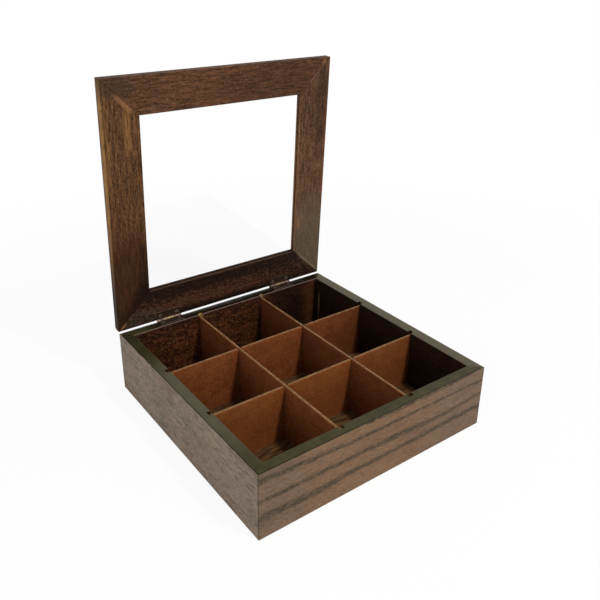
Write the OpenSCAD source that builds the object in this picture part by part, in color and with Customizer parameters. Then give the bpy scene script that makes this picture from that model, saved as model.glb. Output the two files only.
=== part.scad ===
// Tea bag organizer box: a square veneered box of nine compartments,
// with a window lid on two small butt hinges at the back.
// Millimetres. +Z is up, the front is towards -Y, and the origin is the
// middle of the underside.

/* [Box] */
// Outside width, left to right
box_w = 240; // [200:1:320]
// Outside depth, front to back
box_d = 240; // [200:1:320]
// Height of the walls
box_h = 60; // [48:1:90]
// Thickness of the wall boards, without the veneer
wall_t = 10; // [9:0.5:14]
// Thickness of the oak veneer on the outer faces
veneer_t = 0.6; // [0.4:0.1:1.2]

/* [Base] */
// Thickness of the base panel
base_t = 3; // [2:0.5:6]
// How far the base panel is let into the foot of each wall
rabbet_d = 5; // [3:0.5:7]
// Clearance between the base panel's edge and the rabbet
base_play = 0.3; // [0.1:0.1:0.8]

/* [Dividers] */
// Thickness of the divider boards
divider_t = 3; // [2:0.5:5]
// Drop from the rim to the tops of the dividers
divider_drop = 3.5; // [1:0.5:8]
// Depth of the wall slots that hold the divider ends
slot_d = 3.5; // [2:0.5:5]
// Clearance on each side of a divider in its wall slot
slot_play = 0.8; // [0.2:0.1:1.5]
// Clearance between a divider's end and the back of its slot
end_play = 0.4; // [0.1:0.1:1]
// Clearance on each side of a divider in a halved joint
lap_play = 0.6; // [0.1:0.1:1.5]

/* [Lid] */
// Thickness of the lid's rails
lid_t = 8; // [7:0.5:12]
// Width of the lid's rails
rail_w = 34; // [24:1:50]
// Thickness of the window pane
pane_t = 2; // [1.5:0.5:3]
// Depth of the groove that holds the pane
pane_groove_d = 5; // [3:0.5:8]
// Height of the groove above the rails' inner face
pane_z = 3; // [2.5:0.5:4]
// Clearance above the pane and at its edges
pane_play = 0.4; // [0.1:0.1:0.8]
// Gap between the closed lid and the rim
lid_gap = 1.2; // [0.6:0.1:2]
// How far the lid stands open, from closed
lid_open = 87; // [0:1:180]

/* [Hinges] */
// Distance of each hinge's middle from the middle of the box
hinge_x = 67; // [40:1:75]
// Length of a hinge
hinge_len = 26; // [22:1:34]
// Width of a leaf on the wood
leaf_w = 8.5; // [6.5:0.5:9]
// Thickness of a leaf
leaf_t = 0.8; // [0.6:0.1:1.2]
// Radius of the knuckles
knuckle_r = 1.5; // [1.3:0.1:1.6]
// Distance of the hinge pin behind the back of the box
knuckle_out = 0.6; // [0.4:0.1:2]
// Length of the middle knuckle, which belongs to the lid's leaf
mid_knuckle_len = 10; // [6:0.5:12]
// Gap between neighbouring knuckles
knuckle_gap = 0.3; // [0.1:0.1:0.6]
// Diameter of the hinge pin
pin_d = 1.3; // [1:0.1:1.5]
// Radial clearance of the pin in the knuckles
pin_play = 0.05; // [0.02:0.01:0.1]

/* [Screws] */
// Distance between the two screws of a leaf
screw_span = 18; // [14:1:19]
// Diameter of the screw shanks
screw_d = 1.8; // [1.2:0.1:2.4]
// Diameter of the countersunk screw heads
head_d = 3.4; // [3:0.1:3.8]
// Length of a screw, head included
screw_len = 6; // [5:0.5:6.5]
// Length of a screw's point
point_len = 1.6; // [1:0.1:2]
// Diameter of a screw's blunt tip
tip_d = 0.4; // [0.2:0.1:0.8]
// Width of the slot in a screw head
drive_w = 0.5; // [0.3:0.1:0.8]
// Depth of the slot in a screw head
drive_d = 0.35; // [0.2:0.05:0.4]
// Radial clearance round a screw in its leaf and in the wood
screw_play = 0.05; // [0.02:0.01:0.1]

/* [Hidden] */
// Overshoot of a cutting tool past the face it cuts
cut = 1;
round_fn = 48;

// Space inside the walls
side_t = veneer_t + wall_t;
inner_w = box_w - 2 * side_t;
inner_d = box_d - 2 * side_t;

// Dividers: three equal cells each way
cell_w = (inner_w - 2 * divider_t) / 3;
cell_d = (inner_d - 2 * divider_t) / 3;
divider_x = (cell_w + divider_t) / 2;
divider_y = (cell_d + divider_t) / 2;
divider_top = box_h - divider_drop;
lap_z = (base_t + divider_top) / 2;

// The closed lid's inner face, and the hinge axis
lid_z = box_h + lid_gap;
axis_y = box_d / 2 + knuckle_out;
axis_z = box_h + lid_gap / 2;
bore_r = pin_d / 2 + pin_play;
// The screws stand in the middle of the leaf's width
screw_y = box_d / 2 - leaf_w / 2;
screw_hole_r = screw_d / 2 + screw_play;
// The lid's leaf lies flush in a recess in its rail
recess_play = 0.1;

SIDES = [-1, 1];

OAK = [0.45, 0.37, 0.31];
PAINT = [0.25, 0.24, 0.18];
PANEL = [0.26, 0.17, 0.10];
DIVIDER = [0.43, 0.24, 0.11];
LID_WOOD = [0.32, 0.22, 0.15];
BRASS = [0.48, 0.40, 0.26];
GLASS = [0.80, 0.88, 0.88, 0.35];

// ---------------------------------------------------------------- placing

// Stands a side on the front, right, back or left of the box. A side is drawn
// with its outer face on the XZ plane and its inner face towards +Y.
module on_front() { translate([0, -box_d / 2, 0]) children(); }
module on_back() { translate([0, box_d / 2, 0]) rotate([0, 0, 180]) children(); }
module on_left() { translate([-box_w / 2, 0, 0]) rotate([0, 0, -90]) children(); }
module on_right() { translate([box_w / 2, 0, 0]) rotate([0, 0, 90]) children(); }

// Swings what is drawn on the closed lid to where the lid stands open.
module swung() {
    translate([0, axis_y, axis_z])
        rotate([-lid_open, 0, 0])
            translate([0, -axis_y, -axis_z]) children();
}

// ------------------------------------------------------------------ walls

// A board with both ends mitred at 45 degrees. length is the full length of
// the side that it belongs to, and inset the depth of its outer face there.
module mitred_board(length, inset, thickness, height) {
    outer = length / 2 - inset;
    inner = outer - thickness;
    linear_extrude(height)
        polygon([
            [-outer, inset], [outer, inset],
            [inner, inset + thickness], [-inner, inset + thickness]
        ]);
}

// One wall: a mitred board with a rabbet for the base panel along its foot
// and a slot, open at the rim, for the end of each divider.
module wall(length, divider_at) {
    difference() {
        mitred_board(length, veneer_t, wall_t, box_h);
        translate([-length / 2, side_t - rabbet_d, -cut])
            cube([length, rabbet_d + cut, base_t + cut]);
        for (s = SIDES)
            translate([s * divider_at - divider_t / 2 - slot_play, side_t - slot_d, base_t])
                cube([divider_t + 2 * slot_play, slot_d + cut, box_h - base_t + cut]);
    }
}

module veneer(length) {
    mitred_board(length, 0, veneer_t, box_h);
}

module front_wall() { color(PAINT) on_front() wall(box_w, divider_x); }
module left_wall() { color(PAINT) on_left() wall(box_d, divider_y); }
module right_wall() { color(PAINT) on_right() wall(box_d, divider_y); }

// The back wall also has the pilot holes of the hinge screws in its rim, and
// room for the knuckles along its back edge.
module back_wall() {
    color(PAINT)
        difference() {
            on_back() wall(box_w, divider_x);
            knuckle_room();
            at_screws()
                translate([0, screw_y, box_h - screw_len])
                    cylinder(r = screw_hole_r, h = screw_len + cut, $fn = round_fn);
        }
}

module front_veneer() { color(OAK) on_front() veneer(box_w); }
module left_veneer() { color(OAK) on_left() veneer(box_d); }
module right_veneer() { color(OAK) on_right() veneer(box_d); }

// The back veneer is cut away where the knuckles stand.
module back_veneer() {
    color(OAK)
        difference() {
            on_back() veneer(box_w);
            knuckle_room();
        }
}

// The base panel fills the rabbet, flush with the walls' feet.
module base_panel() {
    w = inner_w + 2 * (rabbet_d - base_play);
    d = inner_d + 2 * (rabbet_d - base_play);
    color(PANEL) translate([-w / 2, -d / 2, 0]) cube([w, d, base_t]);
}

// --------------------------------------------------------------- dividers

// A front-to-back divider, halved from below where the cross dividers pass.
module long_divider(side) {
    length = inner_d + 2 * (slot_d - end_play);
    color(DIVIDER)
        difference() {
            translate([side * divider_x - divider_t / 2, -length / 2, base_t])
                cube([divider_t, length, divider_top - base_t]);
            for (s = SIDES)
                translate([
                    side * divider_x - divider_t / 2 - cut,
                    s * divider_y - divider_t / 2 - lap_play,
                    base_t - cut
                ])
                    cube([divider_t + 2 * cut, divider_t + 2 * lap_play, lap_z - base_t + cut]);
        }
}

// A left-to-right divider, halved from above.
module cross_divider(side) {
    length = inner_w + 2 * (slot_d - end_play);
    color(DIVIDER)
        difference() {
            translate([-length / 2, side * divider_y - divider_t / 2, base_t])
                cube([length, divider_t, divider_top - base_t]);
            for (s = SIDES)
                translate([
                    s * divider_x - divider_t / 2 - lap_play,
                    side * divider_y - divider_t / 2 - cut,
                    lap_z
                ])
                    cube([divider_t + 2 * lap_play, divider_t + 2 * cut, divider_top - lap_z + cut]);
        }
}

module left_divider() { long_divider(-1); }
module right_divider() { long_divider(1); }
module front_cross_divider() { cross_divider(-1); }
module back_cross_divider() { cross_divider(1); }

// -------------------------------------------------------------------- lid

// One rail of the closed lid: mitred ends, and the pane's groove along its
// inner edge.
module rail(length) {
    translate([0, 0, lid_z])
        difference() {
            mitred_board(length, 0, rail_w, lid_t);
            translate([-length / 2, rail_w - pane_groove_d, pane_z])
                cube([length, pane_groove_d + cut, pane_t + pane_play]);
        }
}

module lid_front_rail() { color(LID_WOOD) swung() on_front() rail(box_w); }
module lid_left_rail() { color(LID_WOOD) swung() on_left() rail(box_d); }
module lid_right_rail() { color(LID_WOOD) swung() on_right() rail(box_d); }

// The back rail has a recess for each leaf, deeper along its back edge for the
// knuckles, and the pilot holes of the screws.
module lid_back_rail() {
    color(LID_WOOD)
        swung()
            difference() {
                on_back() rail(box_w);
                knuckle_room();
                at_hinges()
                    translate([
                        -hinge_len / 2 - recess_play,
                        box_d / 2 - leaf_w - recess_play,
                        lid_z - cut
                    ])
                        cube([
                            hinge_len + 2 * recess_play,
                            leaf_w + recess_play + cut,
                            leaf_t + cut
                        ]);
                at_screws()
                    translate([0, screw_y, lid_z])
                        cylinder(r = screw_hole_r, h = screw_len, $fn = round_fn);
            }
}

// The pane rests on the lower side of the groove.
module window_pane() {
    w = box_w - 2 * rail_w + 2 * (pane_groove_d - pane_play);
    d = box_d - 2 * rail_w + 2 * (pane_groove_d - pane_play);
    color(GLASS)
        swung()
            translate([-w / 2, -d / 2, lid_z + pane_z])
                cube([w, d, pane_t]);
}

// ----------------------------------------------------------------- hinges

module at_hinges() {
    for (s = SIDES)
        translate([s * hinge_x, 0, 0]) children();
}

module at_screws() {
    for (s = SIDES, t = SIDES)
        translate([s * hinge_x + t * screw_span / 2, 0, 0]) children();
}

// What is cut away round the knuckles of both hinges.
module knuckle_room() {
    room = knuckle_r + knuckle_gap;
    at_hinges()
        translate([-hinge_len / 2 - recess_play, axis_y - room, axis_z - room])
            cube([hinge_len + 2 * recess_play, 2 * room, 2 * room]);
}

// A length of knuckle or pin along the hinge axis, from x0 to x1.
module along_axis(x0, x1, radius) {
    translate([x0, axis_y, axis_z])
        rotate([0, 90, 0]) cylinder(r = radius, h = x1 - x0, $fn = round_fn);
}

// The two countersunk screw holes of a leaf. The head end is at z = 0 and the
// screws point towards +Z.
module countersinks() {
    for (t = SIDES)
        translate([t * screw_span / 2, screw_y, 0]) {
            cylinder(r1 = head_d / 2 + screw_play, r2 = screw_hole_r, h = leaf_t, $fn = round_fn);
            translate([0, 0, -cut])
                cylinder(r = screw_hole_r, h = leaf_t + 2 * cut, $fn = round_fn);
        }
}

// The leaf on the rim of the back wall, with the two outer knuckles.
module box_leaf(side) {
    half = hinge_len / 2;
    mid = mid_knuckle_len / 2;
    color(BRASS)
        translate([side * hinge_x, 0, 0])
            difference() {
                union() {
                    translate([-half, box_d / 2 - leaf_w, box_h])
                        cube([hinge_len, leaf_w + knuckle_out, leaf_t]);
                    along_axis(-half, -mid - knuckle_gap, knuckle_r);
                    along_axis(mid + knuckle_gap, half, knuckle_r);
                }
                translate([-mid - knuckle_gap, axis_y - knuckle_r - knuckle_gap, box_h - cut])
                    cube([
                        2 * (mid + knuckle_gap),
                        knuckle_r + knuckle_gap + cut,
                        leaf_t + 2 * cut
                    ]);
                along_axis(-half - cut, half + cut, bore_r);
                translate([0, 0, box_h + leaf_t]) mirror([0, 0, 1]) countersinks();
            }
}

// The leaf in the lid, with the middle knuckle.
module lid_leaf(side) {
    half = hinge_len / 2;
    mid = mid_knuckle_len / 2;
    color(BRASS)
        swung()
            translate([side * hinge_x, 0, 0])
                difference() {
                    union() {
                        translate([-half, box_d / 2 - leaf_w, lid_z])
                            cube([hinge_len, leaf_w + knuckle_out, leaf_t]);
                        along_axis(-mid, mid, knuckle_r);
                    }
                    for (s = SIDES)
                        translate([
                            s > 0 ? mid : -half - cut,
                            axis_y - knuckle_r - knuckle_gap,
                            lid_z - cut
                        ])
                            cube([
                                half - mid + cut,
                                knuckle_r + knuckle_gap + cut,
                                leaf_t + 2 * cut
                            ]);
                    along_axis(-half - cut, half + cut, bore_r);
                    translate([0, 0, lid_z]) countersinks();
                }
}

module hinge_pin(side) {
    color(BRASS)
        translate([side * hinge_x, 0, 0])
            along_axis(-hinge_len / 2, hinge_len / 2, pin_d / 2);
}

module left_hinge_box_leaf() { box_leaf(-1); }
module right_hinge_box_leaf() { box_leaf(1); }
module left_hinge_lid_leaf() { lid_leaf(-1); }
module right_hinge_lid_leaf() { lid_leaf(1); }
module left_hinge_pin() { hinge_pin(-1); }
module right_hinge_pin() { hinge_pin(1); }

// ----------------------------------------------------------------- screws

// A slotted countersunk screw with its head at z = 0, pointing towards +Z.
module screw() {
    difference() {
        union() {
            cylinder(r1 = head_d / 2, r2 = screw_d / 2, h = leaf_t, $fn = round_fn);
            translate([0, 0, leaf_t])
                cylinder(r = screw_d / 2, h = screw_len - leaf_t - point_len, $fn = round_fn);
            translate([0, 0, screw_len - point_len])
                cylinder(r1 = screw_d / 2, r2 = tip_d / 2, h = point_len, $fn = round_fn);
        }
        translate([-head_d / 2 - cut, -drive_w / 2, -cut])
            cube([head_d + 2 * cut, drive_w, drive_d + cut]);
    }
}

module box_leaf_screws() {
    color(BRASS)
        at_screws()
            translate([0, screw_y, box_h + leaf_t]) mirror([0, 0, 1]) screw();
}

module lid_leaf_screws() {
    color(BRASS) swung() at_screws() translate([0, screw_y, lid_z]) screw();
}

front_wall();
back_wall();
left_wall();
right_wall();
front_veneer();
back_veneer();
left_veneer();
right_veneer();
base_panel();
left_divider();
right_divider();
front_cross_divider();
back_cross_divider();
lid_front_rail();
lid_back_rail();
lid_left_rail();
lid_right_rail();
window_pane();
left_hinge_box_leaf();
right_hinge_box_leaf();
left_hinge_lid_leaf();
right_hinge_lid_leaf();
left_hinge_pin();
right_hinge_pin();
box_leaf_screws();
lid_leaf_screws();
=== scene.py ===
# %% [markdown]
# # A tea box with a window lid
# The real thing is a square wooden box of nine cells, with a framed glass lid on two small brass
# hinges. Its boards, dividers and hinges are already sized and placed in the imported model, so this
# lesson loads that model first and then makes each piece again with the softened edges and
# finishes of the real one.

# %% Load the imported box
import functools
import math

import bmesh
import bpy
from mathutils import Euler, Matrix, Vector


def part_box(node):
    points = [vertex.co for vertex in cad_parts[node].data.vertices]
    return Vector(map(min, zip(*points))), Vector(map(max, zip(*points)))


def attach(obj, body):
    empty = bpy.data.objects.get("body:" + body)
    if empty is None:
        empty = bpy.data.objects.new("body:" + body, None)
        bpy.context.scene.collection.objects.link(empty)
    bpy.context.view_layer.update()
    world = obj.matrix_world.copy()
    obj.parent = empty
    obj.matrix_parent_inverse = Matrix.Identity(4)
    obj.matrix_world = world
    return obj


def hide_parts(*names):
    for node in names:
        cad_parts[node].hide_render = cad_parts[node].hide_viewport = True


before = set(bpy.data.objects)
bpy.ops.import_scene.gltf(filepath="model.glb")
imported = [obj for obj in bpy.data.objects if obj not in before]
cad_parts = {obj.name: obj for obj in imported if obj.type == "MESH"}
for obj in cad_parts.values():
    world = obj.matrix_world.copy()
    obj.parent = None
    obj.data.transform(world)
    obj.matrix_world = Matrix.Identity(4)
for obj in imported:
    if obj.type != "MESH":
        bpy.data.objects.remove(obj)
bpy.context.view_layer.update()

MM = 0.001

# %% [markdown]
# ## The camera
# The box is seen from its front left corner, from a little above the open lid's middle. A camera
# object could be tracked to an empty, but it is plainer to say where it looks, from which side and
# how far off. A small shift places the box in the picture, as sliding the back of a view camera
# does.

# %% Aim the camera
LOOK_AT = Vector((74.57, 111.69, 100.0)) * MM
VIEW_DISTANCE = 744.34 * MM
VIEW_AZIMUTH = math.radians(-35.99)
VIEW_ELEVATION = math.radians(23.42)
VIEW_ROLL = math.radians(0.45)
LENS = 41.57
LENS_SHIFT = (0.0167, -0.08)

facing = Euler((math.pi / 2 - VIEW_ELEVATION, 0, VIEW_AZIMUTH)).to_matrix()
facing = facing @ Matrix.Rotation(VIEW_ROLL, 3, "Z")
stand = LOOK_AT + facing.col[2] * VIEW_DISTANCE
bpy.ops.object.camera_add(location=stand, rotation=facing.to_euler())
camera = bpy.context.active_object
camera.data.lens = LENS
camera.data.shift_x, camera.data.shift_y = LENS_SHIFT
bpy.context.scene.camera = camera
print("camera at", [round(c / MM) for c in camera.location], "mm")

# %% [markdown]
# ## Hand tools
# A maker picks up a piece, cuts it on a line, chops a housing or sands a corner. Each of these is
# a few operators here. Operators act on everything that is selected, so each tool first lets go
# of all pieces and then picks up only its own.


# %% Pick up one piece, or some of its edges
MICRON = 0.001 * MM
HAIR = 0.01 * MM
NEAR = 0.1 * MM


def let_go():
    bpy.ops.object.select_all(action="DESELECT")


def hold(piece):
    """Selects one piece and makes it active."""
    let_go()
    piece.select_set(True)
    bpy.context.view_layer.objects.active = piece


def mark(piece, wanted):
    """Opens a piece in edit mode with the edges selected that wanted() says yes to."""
    hold(piece)
    bpy.ops.object.mode_set(mode="EDIT")
    bpy.ops.mesh.select_mode(type="EDGE")
    bpy.ops.mesh.select_all(action="DESELECT")
    mesh = bmesh.from_edit_mesh(piece.data)
    mesh.normal_update()
    for edge in mesh.edges:
        if wanted(edge):
            edge.select_set(True)
    mesh.select_flush_mode()
    bmesh.update_edit_mesh(piece.data)


def put_down():
    bpy.ops.object.mode_set(mode="OBJECT")


# %% Saw a block of wood, and cut its ends
def fresh(name):
    """The primitive that was just added, with its place and size written into its mesh."""
    piece = bpy.context.active_object
    piece.name = piece.data.name = name
    bpy.ops.object.transform_apply()
    return piece


def block(name, low, high):
    """A cube primitive that fills the space between two corners."""
    low, high = Vector(low), Vector(high)
    let_go()
    bpy.ops.mesh.primitive_cube_add(size=1, location=(low + high) / 2, scale=high - low)
    return fresh(name)


def saw(piece, point, waste, drop=True):
    """Cuts a piece on a plane. The side that waste points to drops off, unless drop is False."""
    hold(piece)
    bpy.ops.object.mode_set(mode="EDIT")
    bpy.ops.mesh.select_all(action="SELECT")
    bpy.ops.mesh.bisect(plane_co=point, plane_no=waste, use_fill=drop, clear_outer=drop)
    put_down()


def mitre(piece, low, high):
    """Cuts both ends of a front board at 45 degrees, so that its inner side is the short one."""
    saw(piece, (low.x, low.y, 0), (-1, 1, 0))
    saw(piece, (high.x, low.y, 0), (1, 1, 0))


# %% Chop a housing, drill a hole
def cut_with(piece, tool):
    """Takes the tool's shape out of the piece with a boolean, and puts the tool away."""
    hold(piece)
    cut = piece.modifiers.new("cut", "BOOLEAN")
    cut.object, cut.operation, cut.solver = tool, "DIFFERENCE", "EXACT"
    bpy.ops.object.modifier_apply(modifier=cut.name)
    bpy.data.objects.remove(tool)


def chop(piece, low, high):
    cut_with(piece, block("chisel", low, high))


def rod(name, start, end, radius, sides=32):
    """A cylinder primitive from one point to another."""
    start, end = Vector(start), Vector(end)
    let_go()
    bpy.ops.mesh.primitive_cylinder_add(
        vertices=sides,
        radius=radius,
        depth=(end - start).length,
        location=(start + end) / 2,
        rotation=(end - start).to_track_quat("Z", "Y").to_euler(),
    )
    return fresh(name)


# %% Sand the edges and settle the surface
SHARP = math.radians(35)


def sharp(edge):
    return len(edge.link_faces) == 2 and edge.calc_face_angle() > SHARP


def middle(edge):
    return (edge.verts[0].co + edge.verts[1].co) / 2


def span(edge):
    return edge.verts[1].co - edge.verts[0].co


def ease(piece, radius, wanted=lambda edge: True, rounds=2):
    """Rounds the sharp edges that wanted() picks, as sanding does."""
    mark(piece, lambda edge: sharp(edge) and wanted(edge))
    bpy.ops.mesh.bevel(offset=radius, segments=rounds, clamp_overlap=True)
    put_down()


def settle(piece):
    """Smooths the rounded edges, and keeps the flat faces flat with weighted normals."""
    hold(piece)
    bpy.ops.object.shade_smooth_by_angle(angle=SHARP)
    flat = piece.modifiers.new("flat faces", "WEIGHTED_NORMAL")
    flat.keep_sharp = True
    bpy.ops.object.modifier_apply(modifier=flat.name)
    return piece


def copy_of(piece, name, turned):
    """A copy with its own mesh, moved by a matrix."""
    twin = bpy.data.objects.new(name, piece.data.copy())
    twin.data.name = name
    bpy.context.collection.objects.link(twin)
    twin.data.transform(turned)
    return twin


def gather(name, pieces):
    """Joins several meshes into one piece."""
    hold(pieces[0])
    for piece in pieces:
        piece.select_set(True)
    bpy.ops.object.join()
    pieces[0].name = pieces[0].data.name = name
    return pieces[0]


# %% [markdown]
# ## Mixing finishes
# Every finish is a small network of shader nodes. Dragging links by hand hides the sums in it, so
# one class here stands for a value on its way through the network: writing `grain * 0.5 + pores`
# with it adds the Math nodes. Patterns are laid on Object coordinates, in metres, so they stay put
# when a body moves.


# %% A value on its way through a finish
class Flow:
    def __init__(self, finish, socket):
        self.finish, self.socket = finish, socket

    def calc(self, operation, *values):
        return self.finish.node("ShaderNodeMath", dict(enumerate(values)), operation=operation)

    def __add__(self, other):
        return self.calc("ADD", self, other)

    def __sub__(self, other):
        return self.calc("SUBTRACT", self, other)

    def __mul__(self, other):
        return self.calc("MULTIPLY", self, other)

    def __rsub__(self, other):
        return self.calc("SUBTRACT", other, self)

    def __truediv__(self, other):
        return self.calc("DIVIDE", self, other)

    __radd__, __rmul__ = __add__, __mul__

    def distance(self):
        return self.calc("ABSOLUTE", self)

    def most(self, other):
        return self.calc("MAXIMUM", self, other)

    def fade(self, none, full, unit=1.0):
        """Goes smoothly from 0 where the value is none to 1 where it is full."""
        ends = {"Value": self, "From Min": none * unit, "From Max": full * unit}
        return self.finish.node("ShaderNodeMapRange", ends, interpolation_type="SMOOTHSTEP")

    def fade_out(self, full, none, unit=1.0):
        """Goes smoothly from 1 where the value is full to 0 where it is none."""
        return 1.0 - self.fade(full, none, unit)


# %% A finish, and the one way to add a node to it
def tone(colour):
    """A colour given as it is seen on a screen, from 0 to 255, for a shader socket."""
    seen = [c / 255 for c in colour]
    return (*[c / 12.92 if c < 0.04045 else ((c + 0.055) / 1.055) ** 2.4 for c in seen], 1.0)


WHITE = (1.0, 1.0, 1.0, 1.0)


class Finish:
    """The nodes of a material or a world. Sizes of patterns and reliefs are in millimetres."""

    def __init__(self, owner):
        owner.use_nodes = True
        self.owner, self.tree, self.colour = owner, owner.node_tree, WHITE
        self.tree.nodes.clear()

    def node(self, kind, sockets=None, out=0, **settings):
        """Adds a node, sets it, and feeds its sockets with numbers, colours or flows."""
        made = self.tree.nodes.new(kind)
        for key, value in settings.items():
            setattr(made, key, value)
        for key, value in (sockets or {}).items():
            if isinstance(value, Flow):
                self.tree.links.new(value.socket, made.inputs[key])
            else:
                made.inputs[key].default_value = value
        return None if out is None else Flow(self, made.outputs[out])

    @functools.cached_property
    def place(self):
        return self.node("ShaderNodeTexCoord", out="Object")

    def axes(self, place=None):
        """The three coordinates of a place, each as a flow of its own."""
        split = self.node("ShaderNodeSeparateXYZ", {0: place or self.place})
        outs = split.socket.node.outputs
        return [Flow(self, outs[i]) for i in range(3)]

    def point(self, x, y, z):
        return self.node("ShaderNodeCombineXYZ", {0: x, 1: y, 2: z})

    def turn(self, **how):
        """The place moved, turned and scaled by a Mapping node."""
        sockets = {key.capitalize(): value for key, value in how.items()}
        return self.node("ShaderNodeMapping", {"Vector": self.place, **sockets})

    def cloud(self, place, size, detail=3.0, rough=0.5, bend=0.0):
        """Noise from 0 to 1, with lumps of about this size."""
        look = {"Scale": 1 / (size * MM), "Detail": detail, "Roughness": rough, "Distortion": bend}
        return self.node("ShaderNodeTexNoise", {"Vector": place, **look})

    def grain(self, board, stretch, *look):
        """A cloud drawn out along a board, whose axes run along it, across it and through it."""
        along, across, through = board
        return self.cloud(self.point(along * stretch, across, through), *look)

    def curve(self, value, points):
        """A smooth curve through given points that go from 0 to 1 both ways."""
        drawn = self.node("ShaderNodeFloatCurve", {"Value": value})
        mapping = drawn.socket.node.mapping
        line = mapping.curves[0]
        for _ in points[2:]:
            line.points.new(0.5, 0.5)
        for point, place in zip(line.points, points):
            point.location = place
        mapping.update()
        return drawn

    def ground(self, share, first, second):
        """Starts the colour: all of the first where share is 0, all of the second where it is 1."""
        self.colour = tone(first)
        self.glaze(share, second)

    def glaze(self, share, over):
        """Lays another colour over the colour so far: none where share is 0, all where it is 1."""
        sockets = {0: share, 6: self.colour, 7: tone(over)}
        self.colour = self.node("ShaderNodeMix", sockets, 2, data_type="RGBA")

    def bump(self, height, depth):
        """The normal of a surface whose height goes from 0 to 1 over this depth."""
        sockets = {"Strength": 1.0, "Distance": depth * MM, "Height": height}
        return self.node("ShaderNodeBump", sockets)

    def end(self, kind, surface):
        self.node("ShaderNodeOutput" + kind, {"Surface": surface}, out=None)
        return self.owner

    def coat(self, **sockets):
        """Ends the finish with a Principled shader."""
        named = {key.replace("_", " "): value for key, value in sockets.items()}
        named["Base Color"] = self.colour
        return self.end("Material", self.node("ShaderNodeBsdfPrincipled", named))

    def varnish(self, roughness, gloss, height, depth):
        """Ends a finish on wood or board."""
        relief = self.bump(height, depth)
        return self.coat(Roughness=roughness, Specular_IOR_Level=gloss, Normal=relief)


def new_finish(name):
    return Finish(bpy.data.materials.new(name))


print("finish kit ready")

# %% [markdown]
# ## The oak on the outside
# The outer faces are oak veneer, stained a grey brown. The front and back sheets were sliced flat,
# so a few dark growth rings run along them as broken streaks, while the sides have the fine quiet
# dashes of quartered oak. A wave texture makes such rings too regular, so the rings here are lines
# at chosen heights that slow noise bends, and fast noise, stretched along the grain, breaks into
# pores.

# %% Stained oak veneer
SHEET_LENGTH = 240 * MM
RING_SCALE, HALF_SCALE = 60, 5
RING_WANDER, RING_FRAY, RING_SPREAD = 3.4, 3.0, 2.2


def streaks(finish, along, up, rings):
    """Dark growth rings, drawn through stations of (share of the length, height, half width)."""
    share = along / SHEET_LENGTH + 0.5
    slow = finish.cloud(finish.point(along, up * 0.5, 0.0), 14, 3.0)
    ragged = finish.cloud(finish.point(along * 0.3, up, 0.3), 2.2, 4.0, 0.75)
    wander = (slow - 0.5) * RING_WANDER * MM + (ragged - 0.5) * RING_FRAY * MM
    dark = None
    for stations in rings:
        height = finish.curve(share, [(t, z / RING_SCALE) for t, z, _ in stations])
        half = finish.curve(share, [(t, w / HALF_SCALE) for t, _, w in stations])
        middle_line = height * RING_SCALE * MM
        width = half * HALF_SCALE * MM + ragged * RING_SPREAD * MM
        off = (up + wander - middle_line).distance() / width
        here = off.fade_out(0.25, 1.25).most(off.fade_out(0.4, 3.0) * 0.16)
        dark = dark.most(here) if dark else here
    return dark * (ragged.fade(0.36, 0.52) * 0.55 + 0.45)


def oak(name, along_x, rings, light, dark, pore, dash):
    """Veneer with its grain along X or along Y. dash is how strongly its flecks show."""
    finish = new_finish(name)
    x, y, z = finish.axes()
    along, up, through = board = (x, z, y) if along_x else (y, z, x)
    fibre = finish.grain(board, 0.07, 0.8, 4.0, 0.62)
    pores = finish.grain(board, 0.17, 1.7, 3.0, 0.6)
    patches = finish.grain(board, 0.35, 16, 3.0, 0.55)
    warm = finish.grain(board, 0.5, 30, 2.0)
    fleck = finish.cloud(finish.point(along * 0.4 + up * 0.4, up, through), 1.4, 3.0, 0.7)
    open_pore = pores.fade(0.53, 0.66)
    finish.ground(patches.fade(0.35, 0.68), light, dark)
    finish.glaze(warm.fade(0.5, 0.72) * 0.4, (130, 92, 66))
    if rings:
        centre = (along + 8 * MM).distance().fade_out(30, 100, MM)
        finish.glaze(centre * 0.3, (132, 96, 62))
        finish.glaze((1.0 - centre) * 0.25, (104, 90, 80))
    finish.glaze(fibre.fade(0.45, 0.72) * 0.4, pore)
    finish.glaze(fleck.fade(0.52, 0.64) * dash * 0.6, (154, 130, 106))
    finish.glaze(fleck.fade_out(0.36, 0.48) * dash * 0.6, pore)
    finish.glaze(open_pore * dash, pore)
    relief = fibre * 0.5 - open_pore * 0.7
    if rings:
        ring = streaks(finish, along, up, rings)
        finish.glaze(ring * (1.0 - fleck.fade(0.5, 0.62) * 0.4) * 0.95, (56, 47, 34))
        relief = relief - ring * 0.35
    finish.glaze(along.distance().fade(118.8, 119.6, MM) * 0.55, (58, 48, 38))
    return finish.varnish(fibre.fade(0.2, 0.8) * 0.16 + 0.55, 0.18, relief, 0.16)


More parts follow.
